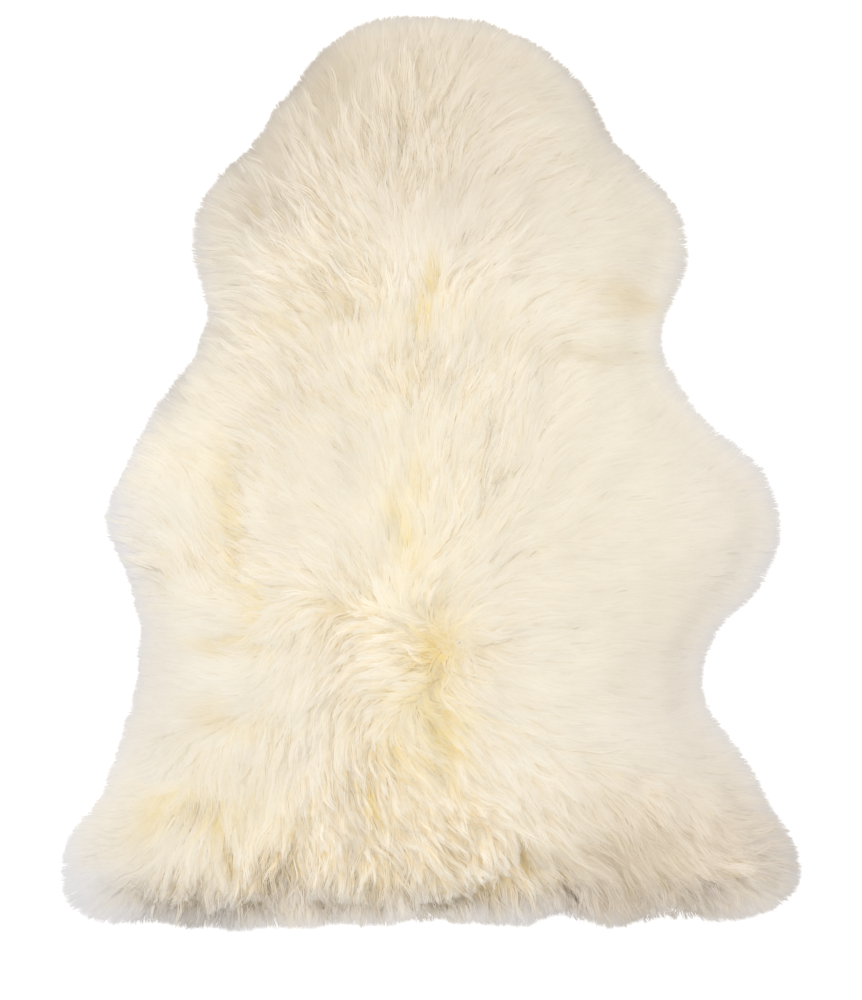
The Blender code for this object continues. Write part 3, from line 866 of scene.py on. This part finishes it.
woolLook = {
    "root": "#F8E0B2",            # lanolin yellow near the skin
    "middle": "#FBEED6",
    "tip": "#FCF5E5",             # bleached ivory tips
    "stained": "#FCE29C",
    "cream": "#FEF0CB",
    "beige": "#F1E1CA",
    "grey": "#F0EEF0",
    "roughness": 0.62,
    "ior": 1.55,                  # keratin
    "sheen": 0.2,
    "streaks": (1.5, 2.2, 45.0),  # along a strand, across each half of it, and from strand to strand
}


def combedWool():
    # washed and combed long wool: translucent keratin fibres, silky along their length,
    # pale at the tips and warm yellow towards the skin
    material, tree, output = newMaterial("combedWool")
    strand = addNode(tree, "ShaderNodeAttribute", {"attribute_name": "strand"})
    tone = addNode(tree, "ShaderNodeAttribute", {"attribute_name": "tone"})
    shade = addNode(tree, "ShaderNodeAttribute", {"attribute_name": "shade"})
    strandParts = addNode(tree, "ShaderNodeSeparateXYZ", None, {0: strand.outputs["Vector"]})
    toneParts = addNode(tree, "ShaderNodeSeparateXYZ", None, {0: tone.outputs["Vector"]})

    ramp = addNode(tree, "ShaderNodeValToRGB", None, {0: strandParts.outputs["X"]})
    elements = ramp.color_ramp.elements
    elements[0].position, elements[0].color = 0.08, linearColour(woolLook["root"])
    elements[1].position, elements[1].color = 0.9, linearColour(woolLook["tip"])
    middle = elements.new(0.42)
    middle.color = linearColour(woolLook["middle"])
    cream = addNode(tree, "ShaderNodeMix", {"data_type": "RGBA"}, {
        0: toneParts.outputs["Y"], 6: ramp.outputs["Color"], 7: linearColour(woolLook["cream"])})
    beige = addNode(tree, "ShaderNodeMix", {"data_type": "RGBA"}, {
        0: toneParts.outputs["Z"], 6: cream.outputs[2], 7: linearColour(woolLook["beige"])})
    washed = addNode(tree, "ShaderNodeAttribute", {"attribute_name": "grey"})
    grey = addNode(tree, "ShaderNodeMix", {"data_type": "RGBA"}, {
        0: washed.outputs["Fac"], 6: beige.outputs[2], 7: linearColour(woolLook["grey"])})

    # the stain is strongest at the skin and gone at the tips
    deep = addNode(tree, "ShaderNodeMapRange", None, {
        0: strandParts.outputs["X"], 1: 0.25, 2: 0.85, 3: 0.9, 4: 0.12})
    stain = addNode(tree, "ShaderNodeMath", {"operation": "MULTIPLY"}, {
        0: toneParts.outputs["X"], 1: deep.outputs[0]})
    stained = addNode(tree, "ShaderNodeMix", {"data_type": "RGBA"}, {
        0: stain.outputs[0], 6: grey.outputs[2], 7: linearColour(woolLook["stained"])})

    # streaks of 0.2 mm along each strand; a fibre is 0.04 mm thick, too fine to show
    streakPlace = addNode(tree, "ShaderNodeVectorMath", {"operation": "MULTIPLY"}, {
        0: strand.outputs["Vector"], 1: woolLook["streaks"]})
    streaks = addNode(tree, "ShaderNodeTexNoise", {"noise_dimensions": "3D"}, {
        "Vector": streakPlace.outputs[0], "Scale": 1.0, "Detail": 1.0})
    fine = addNode(tree, "ShaderNodeMapRange", None, {
        0: streaks.outputs["Fac"], 1: 0.3, 2: 0.7, 3: 0.96, 4: 1.02})
    shaded = addNode(tree, "ShaderNodeVectorMath", {"operation": "MULTIPLY"}, {
        0: stained.outputs[2], 1: shade.outputs["Vector"]})
    colour = addNode(tree, "ShaderNodeVectorMath", {"operation": "SCALE"}, {
        0: shaded.outputs[0], "Scale": fine.outputs[0]})

    shader = addNode(tree, "ShaderNodeBsdfPrincipled", None, {
        "Base Color": colour.outputs[0], "Roughness": woolLook["roughness"],
        "IOR": woolLook["ior"], "Sheen Weight": woolLook["sheen"]})
    tree.links.new(shader.outputs[0], output.inputs[0])
    return material


wool = combedWool()

# coats of wool. Their locks: spacing and width, where they root (from, to: distances in from
# the rim), the least clump that they grow in, length, how far they draw together at their
# tips, crimp, stray from the comb, how the strands' tips hang loose in them, and how far in
# from the outline they end: at this share of the overhang, raggedly.
# Heights: lift over the fleece's surface, relief from lock to lock, how thick a lock is, how
# deep it starts, how far its tip droops, and how low it may lie. Strands: number, sections,
# how far along the lock the last one starts, the shortest one's share, width, taper and roll.
# Tones: unevenness from strand to strand, darker by (dulled, under, deepShade), which are the tone
# field's darkening and painted shade, painted shade on clumped wool (painted light below 0), and
# painted shade on a lock's lower strands; warm in the lower strands, partly the warm colour of that
# painted shade, local (1: the tone of the place, 0: the tone of the root), parts (0: it also
# grows over the partings), shade (share that casts shadows), rounding and stray of the shading
coatBasics = {
    "to": 1.0, "leastClump": 0, "sunk": 4 * mm, "lowest": 0.8 * mm, "taper": 2.4, "roll": 0.3,
    "under": 0.0, "warm": 0.0, "parts": 0.0, "shortest": 0.82, "ragged": 3 * mm,
}
coats = {
    "undercoatWool": {
        "lockSpacing": 8.5 * mm, "lockWidth": 11 * mm, "from": -10 * mm, "length": 36 * mm,
        "strands": 5, "sections": 3, "stagger": 0.2, "draw": 0.3, "crimp": 45 * mm, "stray": 0.14,
        "loose": 1.6 * mm, "lift": -2.5 * mm, "relief": 1.0 * mm, "thick": 0.8 * mm,
        "droop": 1.5 * mm, "lowest": 1.0 * mm, "width": 2.5 * mm, "taper": 2.2,
        "unevenness": 0.03, "darkAndShadeShare": 0.2, "under": 0.08, "deepShade": 0.04, "warm": 0.35,
        "local": 1.0, "shade": 0.3, "rounding": 0.2, "strayShade": 0.03, "rimShare": 0.8,
        "pieces": 3,
    },
    "topWool": {
        "lockSpacing": 9.0 * mm, "lockWidth": 11 * mm, "from": -8 * mm, "length": 46 * mm,
        "strands": 10, "sections": 4, "stagger": 0.3, "draw": 0.75, "crimp": 48 * mm, "stray": 0.12,
        "loose": 1.2 * mm, "lift": -1.5 * mm, "relief": 1.9 * mm, "thick": 0.9 * mm,
        "droop": 2.0 * mm, "width": 1.0 * mm, "unevenness": 0.06, "darkAndShadeShare": 0.19,
        "deepShade": 0.085, "local": 0.6, "parts": 0.8, "shade": 0.06, "rounding": 0.45,
        "strayShade": 0.04, "rimShare": 0.83, "pieces": 4,
    },
    "rimWool": {
        "lockSpacing": 4.7 * mm, "lockWidth": 8 * mm, "from": -14 * mm, "to": 12 * mm,
        "length": 34 * mm, "strands": 6, "sections": 3, "stagger": 0.15, "draw": 0.1,
        "crimp": 45 * mm, "stray": 0.16, "loose": 1.4 * mm, "lift": -4 * mm, "relief": 4 * mm,
        "thick": 1.5 * mm, "sunk": 3 * mm, "droop": 2.0 * mm, "lowest": 0.6 * mm,
        "width": 0.75 * mm, "taper": 2.0, "unevenness": 0.05, "darkAndShadeShare": 0.2, "deepShade": 0.03,
        "local": 1.0, "shade": 0.4, "rounding": 0.3, "strayShade": 0.05, "rimShare": 0.88,
        "shortest": 0.86, "ragged": 2 * mm, "pieces": 2,
    },
    "longWool": {
        "lockSpacing": 16 * mm, "lockWidth": 9 * mm, "from": -4 * mm, "leastClump": 0.5,
        "length": 62 * mm, "strands": 8, "sections": 7, "stagger": 0.25, "draw": 0.7,
        "crimp": 46 * mm, "stray": 0.13, "loose": 1.5 * mm, "lift": 0.3 * mm, "relief": 1.8 * mm,
        "thick": 1.2 * mm, "sunk": 5 * mm, "droop": 1.5 * mm, "width": 0.8 * mm,
        "unevenness": 0.06, "darkAndShadeShare": 0.10, "under": -0.04, "deepShade": 0.08, "local": 0.1,
        "shade": 0.17, "rounding": 0.5, "strayShade": 0.06, "rimShare": 0.84, "pieces": 2,
    },
    "tuftWool": {
        "lockSpacing": 9.0 * mm, "lockWidth": 6 * mm, "from": 0 * mm, "leastClump": 0.85,
        "length": 40 * mm, "strands": 6, "sections": 5, "stagger": 0.3, "draw": 0.8,
        "crimp": 44 * mm, "stray": 0.13, "loose": 1.2 * mm, "lift": 1.2 * mm, "relief": 2.0 * mm,
        "thick": 1.0 * mm, "sunk": 6 * mm, "droop": 1.5 * mm, "width": 0.65 * mm, "taper": 2.6,
        "unevenness": 0.05, "darkAndShadeShare": 0.05, "under": -0.04, "deepShade": 0.06, "local": 0.1,
        "parts": 0.6, "shade": 0.3, "rounding": 0.4, "strayShade": 0.06, "rimShare": 0.84,
        "ragged": 5 * mm, "pieces": 1,
    },
}

woolPieces = []
for seed, (name, coat) in enumerate(coats.items()):
    strands = growStrands({**coatBasics, **coat}, np.random.default_rng(100 + seed))
    for number in range(coat["pieces"]):
        piece = ribbons(subset(strands, strands["part"] == number), f"{name}{number + 1}")
        piece.data.materials.append(wool)
        piece.visible_shadow = piece.visible_diffuse = number == 0
        woolPieces.append(piece)
        print(piece.name, "has", len(piece.data.polygons), "triangles")


# the dense base of the fleece under the strands
base = {
    "sunk": 4.5 * mm,             # below the wool's surface
    "rim": -9 * mm,               # its edge, out past the slab's
    "bottom": 2.6 * mm,           # it stands on the hide
    "thinnest": 1.5 * mm,         # at its edge
    "grid": 7 * mm,
}


def pastBase(x, y):
    # how far in from the base's edge a place is; the edge keeps back with the wool
    return look("inside", x, y) + np.minimum(look("reach", x, y), 0) - base["rim"]


def fleeceBase():
    step = base["grid"]
    xs = np.arange(grids["xs"][0], grids["xs"][-1], step)
    ys = np.arange(grids["ys"][0], grids["ys"][-1], step)
    x, y = np.meshgrid(xs, ys, indexing="ij")
    keep = pastBase(x, y) > 0
    cells = keep[:-1, :-1] & keep[1:, :-1] & keep[:-1, 1:] & keep[1:, 1:]
    used = np.zeros_like(keep)
    for i, j in ((0, 0), (1, 0), (0, 1), (1, 1)):
        used[i:used.shape[0] - 1 + i, j:used.shape[1] - 1 + j] |= cells
    number = np.cumsum(used.ravel()).reshape(used.shape) - 1
    px, py = x[used], y[used]
    # pull the stepped edge onto a smooth line
    inner = np.zeros_like(used)
    inner[1:-1, 1:-1] = cells[:-1, :-1] & cells[1:, :-1] & cells[:-1, 1:] & cells[1:, 1:]
    onEdge = ~inner[used]
    for _ in range(3):
        past = pastBase(px, py) * onEdge
        px, py = px + look("outX", px, py) * past * 0.8, py + look("outY", px, py) * past * 0.8
    least = base["bottom"] + base["thinnest"]
    high = np.where(onEdge, least, np.maximum(look("height", px, py) - base["sunk"], least))
    count = len(px)
    points = np.concatenate([np.column_stack([px, py, high]),
                             np.column_stack([px, py, np.full(count, base["bottom"])])])
    i, j = np.nonzero(cells)
    a, b, c, d = number[i, j], number[i + 1, j], number[i + 1, j + 1], number[i, j + 1]
    topFaces = np.concatenate([np.column_stack([a, b, c]), np.column_stack([a, c, d])])
    bottomFaces = topFaces[:, ::-1] + count
    ends = np.concatenate([topFaces[:, [0, 1]], topFaces[:, [1, 2]], topFaces[:, [2, 0]]])
    _, index, times = np.unique(np.sort(ends, axis=1), axis=0, return_inverse=True, return_counts=True)
    rim = ends[times[index.ravel()] == 1]
    sides = np.concatenate([np.column_stack([rim[:, 1], rim[:, 0], rim[:, 0] + count]),
                            np.column_stack([rim[:, 1], rim[:, 0] + count, rim[:, 1] + count])])
    triangles = np.concatenate([topFaces, bottomFaces, sides])
    opened = np.clip(look("clump", px, py) * 0.8 + look("stain", px, py) * 0.5, 0, 1)
    # the tone field's darkening, partly painted shade
    darkAndShade = np.clip(look("darkAndShade", px, py), 0, 1.8)
    return meshFrom("fleeceBase", points, triangles, None, {
        "opened": np.tile(opened, 2), "dark": np.tile(darkAndShade, 2)})


def denseWool():
    # the thick of the fleece between the locks: matted fine fibres, warm and shadowed
    material, tree, output = newMaterial("denseWool")
    place = addNode(tree, "ShaderNodeNewGeometry")
    mat = addNode(tree, "ShaderNodeTexNoise", None, {
        "Vector": place.outputs["Position"], "Scale": 1 / (4 * mm), "Detail": 3.0})
    ramp = addNode(tree, "ShaderNodeValToRGB", None, {0: mat.outputs["Fac"]})
    ramp.color_ramp.elements[0].position = 0.3
    ramp.color_ramp.elements[0].color = linearColour("#EFD8A2")
    ramp.color_ramp.elements[1].position = 0.7
    ramp.color_ramp.elements[1].color = linearColour("#F8E8C2")
    opened = addNode(tree, "ShaderNodeAttribute", {"attribute_name": "opened"})
    pale = addNode(tree, "ShaderNodeMix", {"data_type": "RGBA"}, {
        0: opened.outputs["Fac"], 6: linearColour("#FBF3E0"), 7: ramp.outputs["Color"]})
    # painted shade, along with the darker tone: the base turns dark brown where the tone field darkens it
    dark = addNode(tree, "ShaderNodeAttribute", {"attribute_name": "dark"})
    fade = addNode(tree, "ShaderNodeMapRange", None, {
        0: dark.outputs["Fac"], 1: 0.0, 2: 1.8, 3: 0.0, 4: 0.6})
    shadowed = addNode(tree, "ShaderNodeMix", {"data_type": "RGBA"}, {
        0: fade.outputs[0], 6: pale.outputs[2], 7: linearColour("#A58C6C")})
    bump = addNode(tree, "ShaderNodeBump", None, {
        "Height": mat.outputs["Fac"], "Strength": 0.6, "Distance": 1.5 * mm})
    shader = addNode(tree, "ShaderNodeBsdfPrincipled", None, {
        "Base Color": shadowed.outputs[2], "Roughness": 0.9, "Normal": bump.outputs[0]})
    tree.links.new(shader.outputs[0], output.inputs[0])
    return material


fleece = fleeceBase()
fleece.data.materials.append(denseWool())
print("fleeceBase has", len(fleece.data.polygons), "triangles")


# the tanned hide that carries the wool
hideSizes = {
    "thickness": 2.2 * mm,
    "edge": 3 * mm,               # in from the slab's rim
    "spacing": 12 * mm,           # of its points
    "walk": 2 * mm,               # the edge is followed in steps of this
}


def outlineAt(distance, spacing):
    # the closed line at this distance in from the rim, walked along the field
    step = hideSizes["walk"]
    start = np.array([0.0, peltHigh.y])
    while look("inside", start[0], start[1]) < distance:
        start[1] -= step / 4
    line = [start.copy()]
    here = start.copy()
    mostSteps = 4000
    for _ in range(mostSteps):
        normal = np.array([look("outX", *here), look("outY", *here)])
        normal /= np.linalg.norm(normal)
        here = here + step * np.array([normal[1], -normal[0]])
        miss = look("inside", *here) - distance
        here = here + normal * miss
        line.append(here.copy())
        if len(line) > 20 and np.linalg.norm(here - start) < step:
            break
    line = np.array(line)
    lengths = np.concatenate([[0], np.cumsum(np.linalg.norm(np.diff(line, axis=0), axis=1))])
    count = int(lengths[-1] / spacing)
    places = np.linspace(0, lengths[-1], count, endpoint=False)
    return np.column_stack([np.interp(places, lengths, line[:, 0]), np.interp(places, lengths, line[:, 1])])


def hideSheet():
    ring = outlineAt(hideSizes["edge"], hideSizes["spacing"])
    count = len(ring)
    step = hideSizes["spacing"]
    gx, gy = np.meshgrid(np.arange(peltLow.x, peltHigh.x, step), np.arange(peltLow.y, peltHigh.y, step))
    gx, gy = gx.ravel(), gy.ravel()
    keep = look("inside", gx, gy) > hideSizes["edge"] + 0.6 * step
    points = np.concatenate([ring, np.column_stack([gx[keep], gy[keep]])])
    made = geometry.delaunay_2d_cdt([Vector(p) for p in points], [], [list(range(count))[::-1]], 1, 1e-6)
    flat = np.array([tuple(p) for p in made[0]])
    faces = np.array(made[2])
    area = 0.5 * abs(np.sum(ring[:, 0] * np.roll(ring[:, 1], -1) - np.roll(ring[:, 0], -1) * ring[:, 1]))
    total = len(flat)
    thick = hideSizes["thickness"]
    top = np.column_stack([flat, np.full(total, thick)])
    under = np.column_stack([flat, np.full(total, 0.0)])
    after = (np.arange(count) + 1) % count
    own = np.arange(count)
    sides = np.concatenate([np.column_stack([own, after, after + total]),
                            np.column_stack([own, after + total, own + total])])
    triangles = np.concatenate([faces, faces[:, ::-1] + total, sides])
    piece = meshFrom("hide", np.concatenate([top, under]), triangles)
    return piece, area, ring.max(axis=0) - ring.min(axis=0)


def suede():
    # the flesh side of a tanned skin, buffed to suede: off-white, soft, faintly blotched
    material, tree, output = newMaterial("suede")
    place = addNode(tree, "ShaderNodeNewGeometry")
    blotch = addNode(tree, "ShaderNodeTexNoise", None, {
        "Vector": place.outputs["Position"], "Scale": 1 / (60 * mm), "Detail": 4.0})
    nap = addNode(tree, "ShaderNodeTexNoise", None, {
        "Vector": place.outputs["Position"], "Scale": 1 / (1.2 * mm), "Detail": 3.0})
    ramp = addNode(tree, "ShaderNodeValToRGB", None, {0: blotch.outputs["Fac"]})
    ramp.color_ramp.elements[0].position = 0.35
    ramp.color_ramp.elements[0].color = linearColour("#E3D6BF")
    ramp.color_ramp.elements[1].position = 0.7
    ramp.color_ramp.elements[1].color = linearColour("#F2EADB")
    bump = addNode(tree, "ShaderNodeBump", None, {
        "Height": nap.outputs["Fac"], "Strength": 0.35, "Distance": 0.3 * mm})
    shader = addNode(tree, "ShaderNodeBsdfPrincipled", None, {
        "Base Color": ramp.outputs["Color"], "Roughness": 0.95, "Sheen Weight": 0.3,
        "Normal": bump.outputs[0]})
    tree.links.new(shader.outputs[0], output.inputs[0])
    return material


hide, hideArea, hideSpan = hideSheet()
hide.data.materials.append(suede())
print("hide", [round(v, 3) for v in hideSpan], "m, area", round(hideArea, 3))


# floor, lights and camera

studio = {
    "floor": "#FFFFFF",
    "floorGlow": 0.25,
    "worldStrength": 0.68,
    "keyPower": 31.5,
    "keyPlace": (-0.8, 0.7, 2.8),
    "keySize": 2.2,
    "scale": 1.0335 * mm,         # metres to one pixel of the photograph's frame, on the floor
    "frameHeight": 1000,
    "middleRow": 28,              # the rug's middle is this many pixels above the frame's
    "cameraHeight": 3.0,
    "backdropSize": 9.0,
}


def makeStudio():
    bpy.ops.mesh.primitive_plane_add(size=2 * studio["backdropSize"])
    floor = bpy.context.object
    floor.name = "floor"
    floor.location.z = -0.2 * mm
    material, tree, output = newMaterial("studioFloor")
    shader = addNode(tree, "ShaderNodeBsdfPrincipled", None, {
        "Base Color": linearColour(studio["floor"]), "Roughness": 0.9,
        "Emission Color": (1, 1, 1, 1), "Emission Strength": studio["floorGlow"]})
    tree.links.new(shader.outputs[0], output.inputs[0])
    floor.data.materials.append(material)

    # a white backdrop all round, that only the camera sees
    bpy.ops.mesh.primitive_uv_sphere_add(segments=48, ring_count=24, radius=studio["backdropSize"])
    backdrop = bpy.context.object
    backdrop.name = "backdrop"
    material, tree, output = newMaterial("studioBackdrop")
    glow = addNode(tree, "ShaderNodeEmission", None, {0: (1, 1, 1, 1), 1: 1.0})
    tree.links.new(glow.outputs[0], output.inputs[0])
    backdrop.data.materials.append(material)
    for ray in ("diffuse", "glossy", "transmission", "volume_scatter", "shadow"):
        setattr(backdrop, "visible_" + ray, False)

    world = bpy.data.worlds.new("studio")
    world.use_nodes = True
    background = world.node_tree.nodes["Background"]
    background.inputs[0].default_value = (1, 1, 1, 1)
    background.inputs[1].default_value = studio["worldStrength"]
    bpy.context.scene.world = world

    light = bpy.data.lights.new("key", "AREA")
    light.size = studio["keySize"]
    light.energy = studio["keyPower"]
    key = bpy.data.objects.new("key", light)
    key.location = studio["keyPlace"]
    key.rotation_euler = (-Vector(studio["keyPlace"])).to_track_quat("-Z", "Y").to_euler()
    bpy.context.scene.collection.objects.link(key)

    data = bpy.data.cameras.new("camera")
    camera = bpy.data.objects.new("camera", data)
    camera.location = (0, -studio["middleRow"] * studio["scale"], studio["cameraHeight"])
    half = studio["scale"] * studio["frameHeight"] / 2
    data.lens = data.sensor_width / 2 * studio["cameraHeight"] / half
    bpy.context.scene.collection.objects.link(camera)
    bpy.context.scene.camera = camera
    bpy.context.scene.view_settings.view_transform = "Standard"


makeStudio()

for piece in woolPieces + [fleece]:
    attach(piece, "root")
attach(hide, "root")
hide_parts("sheepskin")
print("pieces placed")
